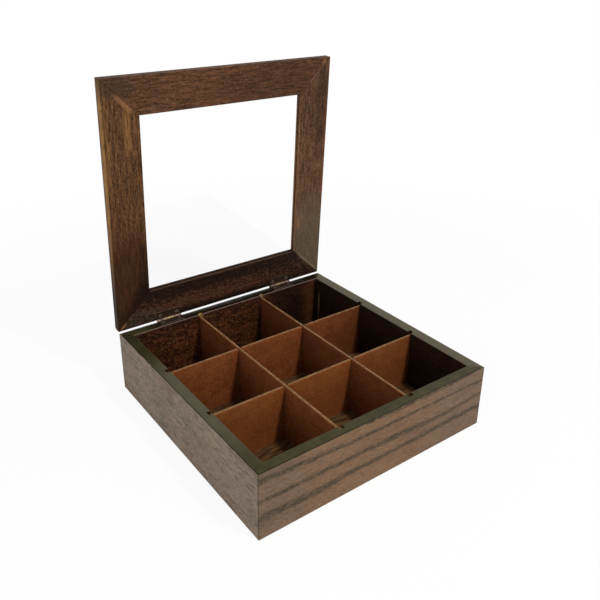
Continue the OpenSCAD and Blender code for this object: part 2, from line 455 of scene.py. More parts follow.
FRONT_RINGS = [
    [
        (0, 54.4, 2.6), (0.14, 52.6, 2.0), (0.31, 50.2, 1.4),
        (0.48, 48.8, 1.0), (0.75, 48.4, 0.4), (1, 47.6, 0.4),
    ],
    [
        (0, 35.4, 1.0), (0.2, 34.8, 1.5), (0.42, 33.8, 1.4),
        (0.56, 33.2, 2.6), (0.76, 31.0, 1.6), (1, 34.0, 0.6),
    ],
    [
        (0, 20.6, 3.0), (0.24, 18.4, 3.6), (0.38, 19.8, 1.7),
        (0.55, 19.2, 1.5), (0.84, 20.4, 2.2), (1, 20.2, 0.8),
    ],
    [
        (0, 63.0, 0.2), (0.36, 61.5, 0.6), (0.5, 59.9, 1.0),
        (0.72, 59.7, 1.2), (0.86, 60.0, 0.9), (1, 62.0, 0.2),
    ],
]
BACK_RINGS = [
    [(0, 46.0, 1.2), (0.3, 49.0, 2.0), (0.6, 44.5, 1.2), (0.8, 45.0, 0.8), (1, 48.0, 1.6)],
    [(0, 30.0, 2.4), (0.2, 28.0, 1.4), (0.5, 31.0, 1.0), (0.75, 27.5, 2.6), (1, 28.5, 1.2)],
    [(0, 10.0, 0.8), (0.4, 12.5, 1.6), (0.7, 9.0, 2.2), (1, 12.0, 0.8)],
]
# The side sheets' tones are lighter and greyer than the front's: their quartered figure is real, but
# the lighter tone is painted light for the sides, which the lamps light less than the front.
FLAT_SAWN = ((113, 88, 67), (96, 76, 59), (66, 51, 36), 0.32)
QUARTERED_WITH_PAINTED_LIGHT = ((132, 114, 98), (114, 98, 84), (70, 58, 46), 0.8)
oak_front = oak("oak front", True, FRONT_RINGS, *FLAT_SAWN)
oak_back = oak("oak back", True, BACK_RINGS, *FLAT_SAWN)
oak_side = oak("oak side", False, [], *QUARTERED_WITH_PAINTED_LIGHT)
print("oak", oak_front.name, oak_back.name, oak_side.name)

# %% [markdown]
# ## Where the hinges stand
# The knuckles of the two hinges stand half sunk in the back edge of the box, and the shut lid's
# rail has the other half. So the veneer, the wall and the rail all get the same small notch round
# each knuckle.

# %% The hinge axis, the screws and the room for the knuckles
KNUCKLE_R = 1.5 * MM
KNUCKLE_GAP = 0.3 * MM
RECESS_PLAY = 0.1 * MM
LEAF_T = 0.8 * MM
HINGE_X, SCREW_SPAN = 67 * MM, 18 * MM
SCREW_XS = [x + side * SCREW_SPAN / 2 for x in (-HINGE_X, HINGE_X) for side in (-1, 1)]
SCREW_Y = 115.75 * MM
SCREW_LENGTH = 6 * MM
HOLE_R = 0.95 * MM
pins = [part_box(f"{side}_hinge_pin") for side in ("left", "right")]
AXIS = sum((end for pin in pins for end in pin), Vector()) / 4


def on_axis(x):
    return Vector((x, AXIS.y, AXIS.z))


def make_knuckle_room(piece):
    """Notches a piece round the knuckles of both hinges."""
    room = KNUCKLE_R + KNUCKLE_GAP
    for pin_low, pin_high in pins:
        chop(
            piece,
            (pin_low.x - RECESS_PLAY, AXIS.y - room, AXIS.z - room),
            (pin_high.x + RECESS_PLAY, AXIS.y + room, AXIS.z + room),
        )
    settle(piece)


print("hinge axis", [round(c / MM, 2) for c in AXIS], "mm")

# %% [markdown]
# ## The veneer sheets
# A sheet of veneer is a thin board whose ends are cut at 45 degrees, so that its edge doesn't show
# at the corner. The front one is sawn from a block, its arrises are lightly sanded, and the others
# are copies of it, turned a quarter each time.

# %% Saw the front sheet and turn its copies
QUARTERS = {"front": 0, "right": 90, "back": 180, "left": 270}
VENEER_ARRIS = 0.25 * MM


def quarter_turn(side):
    return Matrix.Rotation(math.radians(QUARTERS[side]), 4, "Z")


def corners(points):
    """The lowest and highest corners of the box round some points."""
    return [Vector(map(end, zip(*points))) for end in (min, max)]


def fit_check(piece, node):
    """How far a finished piece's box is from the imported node's, in millimetres."""
    made = corners([vertex.co for vertex in piece.data.vertices])
    gap = max((a - b).length for a, b in zip(made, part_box(node)))
    print(f"{piece.name}: {len(piece.data.polygons)} faces, box within {gap / MM:.2f} mm of {node}")


def dress(piece, finishes):
    piece.data.materials.clear()
    for material in finishes:
        piece.data.materials.append(material)


def stand_in(piece, body, slot_name, finishes, *nodes):
    """Hands a finished piece its materials, its body and the nodes that it replaces."""
    dress(piece, finishes)
    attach(piece, body)
    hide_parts(*nodes)
    fit_check(piece, nodes[0])


low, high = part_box("front_veneer")
sheet = block("sheet", low, high)
mitre(sheet, low, high)
ease(sheet, VENEER_ARRIS, lambda edge: middle(edge).y < low.y + NEAR)
settle(sheet)
oaks = {"front": oak_front, "right": oak_side, "back": oak_back, "left": oak_side}
for side, veneer in oaks.items():
    piece = copy_of(sheet, f"oak_{side}", quarter_turn(side))
    if side == "back":
        make_knuckle_room(piece)
    stand_in(piece, "box", "oak_veneer", [veneer], f"{side}_veneer")
bpy.data.objects.remove(sheet)

# %% [markdown]
# ## Finishes of the boards
# The rim is painted a dark olive and rubbed smooth, and the same satin paint runs over the rounded
# inner arris. Painted sheen lightens the rim at the right and along the middle of the left side, a
# painted reflection of the dark open lid darkens it at the back, and a painted highlight runs along
# the inner arris. Inside, the boards are stained a dark mottled brown, with painted shade that
# deepens to the right and under the rim. In the back wall's housings for the dividers the board is
# bare, so its pale fibre shows.

# %% Olive paint, dark stain, bare fibre board
INNER_EDGE = 109.4 * MM


def olive_paint():
    finish = new_finish("olive paint")
    x, y, _ = finish.axes()
    drag = finish.cloud(finish.turn(scale=(0.3, 0.3, 1)), 3, 3.0)
    worn = finish.cloud(finish.place, 9, 3.0)
    speck = finish.cloud(finish.place, 0.8, 2.0)
    finish.ground(worn.fade(0.35, 0.7), (53, 48, 26), (64, 59, 35))
    finish.glaze(drag.fade(0.5, 0.8) * 0.3, (74, 68, 42))
    finish.glaze(speck.fade(0.55, 0.75) * 0.3, (84, 77, 52))
    from_middle = x.distance().most(y.distance())
    sides = ((x, y), (y, x), (0.0 - x, y))
    at_right, at_back, at_left = [(a - b.distance()).fade(-0.1, 0.1, MM) for a, b in sides]
    # Painted sheen: the right rim is lighter.
    finish.glaze(at_right * 0.4, (106, 99, 82))
    # Painted sheen: the left rim is lighter along its middle.
    left_sheen = at_left * (y + 20 * MM).distance().fade_out(30, 95, MM)
    finish.glaze(left_sheen * 0.3, (106, 98, 82))
    # Painted reflection of the dark open lid: the left rim darkens toward the back.
    finish.glaze(at_left * y.fade(50, 112, MM) * 0.6, (32, 29, 18))
    # Painted reflection of the dark open lid on the back rim.
    finish.glaze(at_back * x.fade(-104, -76, MM) * 0.9, (20, 12, 5))
    # Painted highlight along the rounded inner arris, strongest at the back.
    arris = (from_middle - INNER_EDGE).distance().fade_out(0.35, 1.0, MM)
    finish.glaze(arris * (at_back * 0.55 + 0.1), (128, 104, 98))
    seam = from_middle.fade(118.0, 118.7, MM)
    finish.glaze(seam * (1.0 - at_right) * 0.8, (22, 19, 11))
    return finish.varnish(worn.fade(0.2, 0.8) * 0.12 + 0.3, 0.1, drag, 0.05)


def dark_stain():
    finish = new_finish("dark stain")
    x, y, z = finish.axes()
    mottle = finish.cloud(finish.point(x * 0.3, y * 0.3, z), 4, 4.0, 0.62, 0.6)
    speck = finish.cloud(finish.point(x * 0.6, y * 0.6, z), 2.0, 3.0, 0.7)
    broad = finish.cloud(finish.place, 26, 2.0)
    finish.ground(mottle.fade(0.36, 0.66), (40, 18, 7), (82, 43, 22))
    finish.glaze(broad.fade(0.45, 0.75) * 0.6, (34, 17, 7))
    finish.glaze(speck.fade(0.53, 0.64) * 0.75, (116, 74, 44))
    finish.glaze(speck.fade_out(0.34, 0.47) * 0.5, (14, 6, 2))
    # Painted shade: the inside darkens towards the right and near the top, under the rim.
    finish.glaze((x.fade(0, 70, MM) * 0.82).most(z.fade(40, 58, MM) * 0.4), (11, 5, 1))
    thin = x.fade(84, 104, MM) * x.fade_out(105, 107, MM) * y.fade(104, 108, MM)
    finish.glaze(thin * (mottle.fade(0.35, 0.6) * 0.6 + 0.4) * 0.42, (104, 60, 34))
    scratch = (y - 103.4 * MM).distance().fade_out(0.6, 1.6, MM)
    scratch = scratch * (z - 24 * MM).distance().fade_out(10, 26, MM)
    finish.glaze(scratch * x.fade(100, 108, MM) * 0.5, (134, 112, 78))
    relief = mottle * 0.5 + speck * 0.5
    return finish.varnish(speck.fade(0.3, 0.7) * 0.2 + 0.55, 0.1, relief, 0.25)


def bare_board():
    finish = new_finish("bare board")
    fuzz = finish.cloud(finish.place, 0.7, 4.0, 0.7)
    finish.ground(fuzz.fade(0.3, 0.7), (132, 106, 58), (184, 156, 96))
    finish.glaze(finish.axes()[0].fade(-10, 10, MM) * 0.75, (134, 120, 98))
    return finish.varnish(0.85, 0.2, fuzz, 0.1)


rim_paint, inner_stain, raw_board = olive_paint(), dark_stain(), bare_board()
print("boards", rim_paint.name, inner_stain.name, raw_board.name)

# %% [markdown]
# ## The four walls
# A wall is a board with mitred ends, a rabbet along its foot for the bottom, and two housings,
# open at the rim, for the ends of the dividers. The housings could be modelled by splitting faces
# and pushing them in, but chopping them out with a boolean is how they are really made, and it
# stays exact.

# %% Saw, rabbet and house the front wall
SLOT_PLAY = 0.8 * MM
SLOT_END_PLAY = 0.4 * MM
RABBET_PLAY = 0.3 * MM
OVERCUT = 1 * MM
PAINT_DEPTH = 0.9 * MM
NOTCH_ARRIS = 0.5 * MM
OUTER_ARRIS = 0.3 * MM
SKIN = 1 * MM
WALL_HOLE = (54 * MM, 61 * MM)

low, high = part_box("front_wall")
bottom_low, bottom_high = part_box("base_panel")
wall = block("wall", low, high)
mitre(wall, low, high)
chop(
    wall,
    (low.x - OVERCUT, bottom_low.y - RABBET_PLAY, low.z - OVERCUT),
    (high.x + OVERCUT, high.y + OVERCUT, bottom_high.z),
)
for divider in ("left_divider", "right_divider"):
    div_low, div_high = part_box(divider)
    chop(
        wall,
        (div_low.x - SLOT_PLAY, div_low.y - SLOT_END_PLAY, bottom_high.z),
        (div_high.x + SLOT_PLAY, high.y + OVERCUT, high.z + OVERCUT),
    )
slot_back = div_low.y - SLOT_END_PLAY
print("housings reach", round((high.y - slot_back) / MM, 2), "mm into the wall")

# %% Round the rim
rim_z, inner_y = high.z, high.y


def on_rim(edge):
    return min(vertex.co.z for vertex in edge.verts) > rim_z - HAIR


def on_mitre(edge):
    return all(abs(abs(v.co.x) - abs(v.co.y)) < HAIR for v in edge.verts)


def inner_or_notch_rim(edge):
    """An edge of the rim along its inner side, or round a housing's mouth."""
    return on_rim(edge) and not on_mitre(edge) and middle(edge).y > low.y + SKIN


def outer_rim(edge):
    return on_rim(edge) and not on_mitre(edge) and middle(edge).y < low.y + SKIN


ease(wall, NOTCH_ARRIS, inner_or_notch_rim, rounds=3)
ease(wall, OUTER_ARRIS, outer_rim)
settle(wall)


# %% Paint the faces and turn the copies
def coat_wall(piece):
    """Paint on the rim, stain inside, and bare board in the housings and where nothing shows."""
    for face in piece.data.polygons:
        spot = face.center
        if spot.z > rim_z - PAINT_DEPTH:
            face.material_index = 0
        elif abs(spot.y - inner_y) < NEAR or spot.z < NEAR:
            face.material_index = 1
        else:
            face.material_index = 2


coat_wall(wall)
walls = {side: copy_of(wall, f"wall_{side}", quarter_turn(side)) for side in QUARTERS}
bpy.data.objects.remove(wall)
make_knuckle_room(walls["back"])
for x in SCREW_XS:
    cut_with(walls["back"], rod("drill", *[(x, SCREW_Y, z) for z in WALL_HOLE], HOLE_R))
for side, piece in walls.items():
    indices = [face.material_index for face in piece.data.polygons]
    housing = raw_board if side == "back" else inner_stain
    stand_in(piece, "box", "wall_board", [rim_paint, inner_stain, housing], f"{side}_wall")
    piece.data.polygons.foreach_set("material_index", indices)

# %% [markdown]
# ## The bottom
# The bottom is one thin stained panel let into the walls' feet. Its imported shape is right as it
# is, and only its upper face shows, so it keeps that shape and gets a finish of its own.


# %% Stained panel with a fine pressed texture
def pressed_panel():
    finish = new_finish("pressed panel")
    weave = finish.grain(finish.axes(), 0.07, 1.2, 2.0, 0.5)
    blotch = finish.cloud(finish.place, 12, 4.0, 0.6)
    finish.ground(weave.fade(0.38, 0.62), (50, 29, 13), (104, 74, 44))
    finish.glaze(blotch.fade(0.42, 0.72) * 0.4, (62, 37, 18))
    return finish.varnish(weave.fade(0.2, 0.8) * 0.2 + 0.5, 0.15, weave, 0.15)


def refinish(node, material):
    """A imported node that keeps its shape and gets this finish."""
    dress(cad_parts[node], [material])
    print("refinished", node)


refinish("base_panel", pressed_panel())

# %% [markdown]
# ## The dividers
# Four thin boards are halved into each other like the card in a bottle crate. Two run from front
# to back and are cut from below, and two cross them and are cut from above. Their faces and
# arrises are stained a warm brown, and the flat of the top edge is rubbed paler. Painted shade
# darkens them towards the back and the right, and painted light warms and lightens the front
# cross divider.


# %% Warm stain with pale edges
def warm_stain(name, along_x):
    finish = new_finish(name)
    x, y, z = finish.axes()
    board = (x, z, y) if along_x else (y, z, x)
    mottle = finish.grain(board, 0.7, 9, 4.0, 0.6, 0.3)
    fine = finish.grain(board, 0.8, 1.5, 3.0, 0.7)
    broad = finish.cloud(finish.point(*board), 30, 2.0)
    finish.ground(mottle.fade(0.3, 0.72), (108, 56, 25), (128, 71, 35))
    finish.glaze(broad.fade(0.4, 0.75) * 0.4, (106, 56, 25))
    finish.glaze(fine.fade(0.50, 0.66) * 0.42, (66, 30, 11))
    finish.glaze(fine.fade_out(0.34, 0.49) * 0.42, (156, 96, 56))
    if along_x:
        # Painted shade darkens the cross dividers to the right and towards the back, and painted
        # light warms and lightens them at the front.
        to_back = y.fade(-30, 30, MM)
        finish.glaze(x.fade(20, 110, MM) * (to_back * 0.25 + 0.2), (58, 28, 12))
        finish.glaze((1.0 - to_back) * 0.25, (128, 76, 34))
    else:
        # Painted shade darkens the long dividers towards the back, and the right one more.
        finish.glaze(y.fade(-30, 80, MM) * 0.4, (60, 24, 9))
        finish.glaze(x.fade(0, 30, MM) * 0.3, (58, 22, 8))
    return finish.varnish(fine.fade(0.2, 0.8) * 0.2 + 0.55, 0.15, fine, 0.1)


def pale_edge():
    finish = new_finish("pale edge")
    rub = finish.cloud(finish.place, 4, 4.0, 0.65)
    finish.ground(rub.fade(0.3, 0.7), (98, 74, 46), (138, 108, 74))
    return finish.varnish(0.7, 0.15, rub, 0.05)


edge_finish = pale_edge()
print("dividers", edge_finish.name)

# %% Halve the boards into each other
LAP_PLAY = 0.6 * MM
DIVIDER_ARRIS = 0.6 * MM
FLAT = 0.99


def divider_board(node, name, crossing, notch_from_above, stain):
    """One divider: a board with a notch for each divider that crosses it."""
    low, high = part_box(node)
    piece = block(name, low, high)
    half_z = (low.z + high.z) / 2
    long_axis = 1 if high.y - low.y > high.x - low.x else 0
    for other in crossing:
        other_low, other_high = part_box(other)
        start, end = low - Vector((OVERCUT,) * 3), high + Vector((OVERCUT,) * 3)
        start[long_axis] = other_low[long_axis] - LAP_PLAY
        end[long_axis] = other_high[long_axis] + LAP_PLAY
        if notch_from_above:
            start.z = half_z
        else:
            end.z = half_z
        chop(piece, start, end)
    ease(piece, DIVIDER_ARRIS, lambda edge: middle(edge).z > high.z - HAIR)
    settle(piece)
    stand_in(piece, "box", "divider", [stain, edge_finish], node)
    for face in piece.data.polygons:
        is_top = face.normal.z > FLAT and face.center.z > half_z + SKIN
        face.material_index = int(is_top)


LONG_DIVIDERS = ("left_divider", "right_divider")
CROSS_DIVIDERS = ("front_cross_divider", "back_cross_divider")
long_stain = warm_stain("warm stain long", False)
cross_stain = warm_stain("warm stain cross", True)
for node in LONG_DIVIDERS:
    divider_board(node, "long_" + node, CROSS_DIVIDERS, False, long_stain)
for node in CROSS_DIVIDERS:
    divider_board(node, "made_" + node, LONG_DIVIDERS, True, cross_stain)

# %% [markdown]
# ## The lid's frame
# Four flat rails meet in mitres round the glass. They are easiest to make on the closed lid, lying
# flat over the box, and to swing up about the hinge pins afterwards, as the real lid opens.

# %% The swing
LID_OPEN = math.radians(-87)
swing = Matrix.Translation(AXIS) @ Matrix.Rotation(LID_OPEN, 4, "X") @ Matrix.Translation(-AXIS)


def closed_box(node):
    """A lid node's lowest and highest corners while the lid is shut."""
    back = swing.inverted()
    return corners([back @ vertex.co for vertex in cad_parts[node].data.vertices])


# %% [markdown]
# ## The lid's finish
# The rails are a plainer wood, stained a warm brown that took unevenly: the grain runs along each
# rail as dark and light strokes, and some arrises and mitres are rubbed through to a paler tan.
# Painted shade makes the rail by the hinges and the lower end of the left rail much darker, and a
# painted olive sheen lies on the lower end of the right rail. The pattern is laid on the closed
# lid's own coordinates, which a Mapping node gets by turning Object coordinates back through the
# lid's angle.


# %% Uneven brown stain, rubbed through in places
GOLD, TAN, PALE, OLIVE = (150, 108, 60), (142, 98, 64), (150, 124, 100), (92, 82, 66)
RED, RUSSET, SHADE = (110, 62, 38), (104, 66, 48), (54, 44, 30)
NEAR_BLACK, EDGE = (22, 11, 5), (30, 19, 11)


def patch(x, y, centre, radii, turned):
    """1 inside an ellipse on the lid's face, fading to 0 round it."""
    dx, dy = x - centre[0] * MM, y - centre[1] * MM
    c, s = math.cos(math.radians(turned)), math.sin(math.radians(turned))
    u = (dx * c + dy * s) / (radii[0] * MM)
    v = (dy * c - dx * s) / (radii[1] * MM)
    return (u * u + v * v).fade_out(0.35, 1.7)


def lid_stain(side, base, marks, speckle=0.3, stretch=0.5, size=1.7):
    """Marks are (centre, radii, turned, strength, ragged, colour), in millimetres and degrees."""
    finish = new_finish(f"lid stain {side}")
    back = Matrix.Rotation(-LID_OPEN, 3, "X")
    flat = finish.turn(location=AXIS - back @ AXIS, rotation=(-LID_OPEN, 0, 0))
    x, y, z = finish.axes(flat)
    board = (x, y, z) if side in ("front", "back") else (y, x, z)
    grain = finish.grain(board, 0.4, 0.9, 4.0, 0.7)
    strokes = finish.grain(board, 0.1, 1.7, 4.0, 0.65, 0.3)
    curl = finish.grain(board, 0.6, 5, 4.0, 0.6, 0.9)
    broad = finish.cloud(flat, 32, 2.0)
    fleck = finish.grain(board, stretch, size, 3.0, 0.72)
    light, dark, glint = base
    finish.ground(strokes.fade(0.40, 0.60), dark, light)
    finish.glaze(curl.fade(0.5, 0.68) * 0.3, dark)
    finish.glaze(broad.fade(0.45, 0.7) * 0.35, dark)
    finish.glaze(grain.fade_out(0.32, 0.47) * 0.35, glint)
    finish.glaze(fleck.fade_out(0.36, 0.48) * speckle, glint)
    finish.glaze(curl.fade_out(0.3, 0.42) * 0.4, glint)
    rough_edge = (strokes * 0.35 + grain * 0.3 + fleck * 0.35).fade(0.42, 0.56)
    for centre, radii, turned, strength, ragged, wear in marks:
        share = patch(x, y, centre, radii, turned) * (rough_edge * ragged + (1 - ragged))
        finish.glaze(share * strength, wear)
    finish.glaze(grain.fade(0.5, 0.64) * 0.5, NEAR_BLACK)
    finish.glaze(fleck.fade(0.5, 0.62) * speckle, NEAR_BLACK)
    border = x.distance().most(y.distance()).fade(119.0, 119.5, MM)
    finish.glaze(border * z.fade(67.2, 68.0, MM) * 0.9, EDGE)
    relief = grain * 0.6 + strokes * 0.4
    return finish.varnish(grain.fade(0.2, 0.8) * 0.2 + 0.5, 0.1, relief, 0.16)


RUBBED = (-94, 8, 1.0, 0.1), (-72, 7, 1.0, 0.4), (-55, 7, 1.0, 0.2)
RUBBED += (-32, 12, 1.0, 0.4), (2, 12, 0.7, 0.7)
LEFT_MARKS = [
    # The first two marks are painted shade on the rail's lower end, by the hinges.
    ((-92, 100), (17, 34), 25, 0.85, 0.0, NEAR_BLACK),
    ((-104, 96), (40, 74), 0, 0.75, 0.0, NEAR_BLACK),
    ((-114, -113), (12, 7), 45, 0.6, 0.2, SHADE),
    ((-120.6, -30), (1.4, 90), 0, 0.9, 0.5, GOLD),
    *[((-120.6, y), (1.2, length), 0, *look, GOLD) for y, length, *look in RUBBED],
    ((-100, -97.4), (11.5, 2.3), 45, 0.7, 0.6, TAN),
    ((-98, -74), (3.6, 19), 0, 0.6, 0.9, GOLD),
    ((-116.5, -60), (2, 40), 0, 0.35, 0.9, GOLD),
    ((-108, 40), (14, 60), 0, 0.2, 0.6, RED),
    ((-114, 115.5), (6, 1.6), 135, 0.6, 0.4, TAN),
]
FRONT_MARKS = [
    ((100, -101), (14, 6.5), 135, 0.55, 0.8, RED),
    ((113, -116), (3.5, 2.2), 135, 0.7, 0.5, TAN),
    ((104, -104.5), (13, 0.5), 135, 0.75, 0.2, PALE),
    ((0, -106), (110, 14), 0, 0.2, 0.8, RED),
    ((66, -98), (66, 24), 0, 0.35, 0.2, NEAR_BLACK),
    ((-104, -112), (16, 8), 20, 0.55, 0.2, SHADE),
    ((20, -90), (60, 2), 0, 0.35, 0.8, RED),
]
RIGHT_MARKS = [
    # Painted olive sheen on the rail's lower end, by the hinges.
    ((104, 92), (34, 62), 0, 0.7, 0.25, OLIVE),
    ((118.4, -28), (1.5, 60), 0, 0.6, 0.5, RED),
    ((90.5, 51.5), (4, 8), 20, 0.6, 0.95, TAN),
    ((104, -84), (22, 44), 0, 0.3, 0.3, NEAR_BLACK),
    ((112, -70), (6, 50), 0, 0.35, 0.3, NEAR_BLACK),
    ((104, 104), (18, 2.2), 45, 0.5, 0.3, PALE),
    ((85.9, 0), (0.5, 90), 0, 0.75, 0.1, TAN),
]
BACK_MARKS = [
    ((-14, 107.5), (82, 9), 1, 0.26, 0.75, RUSSET),
    ((-28, 109), (62, 5), 1, 0.36, 0.75, RUSSET),
    ((-98, 112), (24, 8), 0, 0.35, 0.5, OLIVE),
    # Painted shade: near-black bands along the window edge and along the hinge edge.
    ((0, 89), (135, 8), 0, 0.75, 0.15, NEAR_BLACK),
    ((10, 121.5), (125, 3), 0, 0.85, 0.15, NEAR_BLACK),
    ((-115, 116), (4.5, 1.4), 135, 0.8, 0.2, TAN),
    # Painted olive sheen at the lower right corner.
    ((98, 99), (13, 1.2), 45, 0.6, 0.4, OLIVE),
    ((0, 86), (95, 0.6), 0, 0.12, 0.1, TAN),
]
RECIPES = {
    "left": (((102, 69, 42), (56, 34, 18), (134, 94, 58)), LEFT_MARKS),
    "front": (((96, 64, 42), (54, 33, 19), (126, 88, 62)), FRONT_MARKS),
    "right": (((106, 73, 50), (62, 39, 24), (134, 98, 70)), RIGHT_MARKS),
    # The back rail, by the hinges, has far darker tones than the others: painted shade.
    "back": (((45, 26, 14), (19, 10, 4), (94, 59, 39)), BACK_MARKS, 0.75, 0.6, 2.1),
}
rail_stains = {side: lid_stain(side, *recipe) for side, recipe in RECIPES.items()}
print("lid stains", sorted(rail_stains))

# %% Saw the front rail, groove it for the glass, and turn its copies
PANE_PLAY = 0.4 * MM
RAIL_ARRIS = 0.3 * MM
JOINT_ARRIS = 0.18 * MM
LONG = 100 * MM
PAST_RAIL = 200 * MM

low, high = closed_box("lid_front_rail")
lid_z = low.z
pane_low, pane_high = closed_box("window_pane")
rail = block("rail", low, high)
mitre(rail, low, high)
chop(
    rail,
    (low.x - OVERCUT, pane_low.y - PANE_PLAY, pane_low.z),
    (high.x + OVERCUT, high.y + OVERCUT, pane_high.z + PANE_PLAY),
)


def runs_along_x(edge):
    return abs(span(edge).x) > LONG


def long_arris(edge):
    z = middle(edge).z
    return min(z - low.z, high.z - z) < HAIR and runs_along_x(edge)


ease(rail, RAIL_ARRIS, long_arris, rounds=3)
ease(rail, JOINT_ARRIS, lambda edge: on_mitre(edge) and not runs_along_x(edge), rounds=1)
settle(rail)
rails = {side: copy_of(rail, f"rail_{side}", quarter_turn(side)) for side in QUARTERS}
bpy.data.objects.remove(rail)

# %% Let the hinge leaves into the back rail and swing the frame up
make_knuckle_room(rails["back"])
for side in ("left", "right"):
    leaf_low, leaf_high = closed_box(f"{side}_hinge_lid_leaf")
    chop(
        rails["back"],
        (leaf_low.x - RECESS_PLAY, leaf_low.y - RECESS_PLAY, lid_z - OVERCUT),
        (leaf_high.x + RECESS_PLAY, high.y - low.y + PAST_RAIL, lid_z + LEAF_T),
    )
for x in SCREW_XS:
    ends = [(x, SCREW_Y, z) for z in (lid_z, lid_z + SCREW_LENGTH)]
    cut_with(rails["back"], rod("drill", *ends, HOLE_R))
for side, piece in rails.items():
    piece.data.transform(swing)
    stand_in(piece, "lid", "lid_frame", [rail_stains[side]], f"lid_{side}_rail")

# %% [markdown]
# ## The glass
# The pane sits loose in the rails' grooves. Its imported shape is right, so it only needs to look
# like glass: a Principled shader that lets all light through, very slightly wavy as thin drawn
# glass is, with its reflections held back so that they stay faint.


# %% Clear window glass
def window_glass():
    finish = new_finish("window glass")
    return finish.coat(
        Roughness=0.0,
        IOR=1.45,
        Transmission_Weight=1.0,
        Specular_Tint=(0.3, 0.3, 0.3, 1.0),
        Normal=finish.bump(finish.cloud(finish.place, 60, 1.0), 0.02),
    )


refinish("window_pane", window_glass())

# %% [markdown]
# ## The hinges
# Each butt hinge is two brass leaves rolled round a pin: the box's leaf has the two outer knuckles
# and the lid's leaf the middle one. A rolled knuckle could be spun from the edge of the sheet.
# Here it is a tube with a fine seam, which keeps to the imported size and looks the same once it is
# closed.

# %% Antique brass
WAX_AND_SHADE_R = 0.9 * MM
LID_SCREW_Z = AXIS.z + AXIS.y - SCREW_Y


def old_brass(name, bright, dull, worn=None, metal=0.9):
    """worn(x, y, z) gives where a colour is laid over the tarnish, and that colour."""
    finish = new_finish(name)
    tarnish = finish.cloud(finish.place, 2.2, 4.0, 0.6)
    scratch = finish.cloud(finish.turn(scale=(0.15, 1, 1)), 0.5, 2.0)
    share = tarnish.fade(0.35, 0.68)
    finish.ground(share, bright, dull)
    if worn:
        finish.glaze(*worn(*finish.axes()))
    return finish.coat(
        Metallic=metal - share * 0.3,
        Roughness=share * 0.25 + 0.35,
        Normal=finish.bump(scratch * 0.5 + tarnish * 0.5, 0.05),
    )


def leaf_edge_highlights(x, y, z):
    """Painted highlights along the long free edges of both leaves: the lid's is the top one, the
    box's the front one.
    """
    front = y.fade_out(111.9, 112.4, MM) * z.fade_out(61.5, 62.5, MM)
    return z.fade(69.0, 69.4, MM).most(front) * 0.8, (104, 90, 76)


def slot_shadow(x, y, z):
    """The middle of each screw head, darkened: painted shade in the slot, and old wax round it."""
    across = ((x.distance() - HINGE_X).distance() - SCREW_SPAN / 2) / WAX_AND_SHADE_R
    on_lid = z.fade(62.5, 62.6, MM)
    along = (y - SCREW_Y) / WAX_AND_SHADE_R * (1.0 - on_lid) + (z - LID_SCREW_Z) / WAX_AND_SHADE_R * on_lid
    return (across * across + along * along).fade_out(0.4, 1.4) * 0.85, (30, 20, 14)


leaf_brass = old_brass("leaf brass", (78, 60, 46), (34, 23, 16), leaf_edge_highlights)
outer_brass = old_brass("outer knuckle brass", (122, 98, 86), (60, 44, 36), metal=0.6)
# The middle knuckle's brass is the outer knuckles' brass made lighter and yellower: a painted
# highlight.
middle_highlight_brass = old_brass("middle knuckle highlight brass", (150, 126, 90), (92, 72, 50), metal=0.6)
screw_brass = old_brass("screw brass", (140, 122, 104), (90, 72, 58), slot_shadow, 0.6)
print("brass", leaf_brass.name, outer_brass.name, middle_highlight_brass.name, screw_brass.name)

# %% Roll a knuckle
BORE_R = 0.7 * MM
SEAM, SEAM_DEPTH = 0.12 * MM, 0.5 * MM
MID_KNUCKLE = 5 * MM
KNUCKLE_ARRIS = 0.18 * MM


def knuckle(start_x, end_x, seam_side):
    """A tube round the hinge axis, with the seam where the sheet's edge meets the leaf."""
    tube = rod("knuckle", on_axis(start_x), on_axis(end_x), KNUCKLE_R, 40)
    cut_with(tube, rod("bore", on_axis(start_x - OVERCUT), on_axis(end_x + OVERCUT), BORE_R, 24))
    seam_z = AXIS.z + seam_side * (KNUCKLE_R - SEAM_DEPTH)
    seam_zs = sorted((seam_z, seam_z + seam_side * MM))
    chop(
        tube,
        (start_x - OVERCUT, AXIS.y - SEAM, seam_zs[0]),
        (end_x + OVERCUT, AXIS.y + SEAM, seam_zs[1]),
    )

    def on_outer_ring(vertex):
        at_end = min(abs(vertex.co.x - x) for x in (start_x, end_x)) < MICRON
        return at_end and (vertex.co - AXIS).yz.length > KNUCKLE_R * 0.9

    ease(tube, KNUCKLE_ARRIS, lambda edge: all(map(on_outer_ring, edge.verts)))
    return tube


# %% Cut a leaf and countersink it
HEAD_R = 1.75 * MM
LEAF_CORNER, LEAF_ARRIS = 0.9 * MM, 0.12 * MM


def countersink(leaf, x, head_z, into):
    """A countersunk hole whose wide end is at head_z, narrowing on the side that into points to."""
    bottom_r, top_r = (HEAD_R, HOLE_R) if into > 0 else (HOLE_R, HEAD_R)
    let_go()
    bpy.ops.mesh.primitive_cone_add(
        vertices=32,
        radius1=bottom_r,
        radius2=top_r,
        depth=LEAF_T,
        location=(x, SCREW_Y, head_z + into * LEAF_T / 2),
    )
    cut_with(leaf, fresh("countersink"))
    drill_ends = [(x, SCREW_Y, head_z + side * 2 * LEAF_T) for side in (-1, 1)]
    cut_with(leaf, rod("drill", *drill_ends, HOLE_R * 0.98))


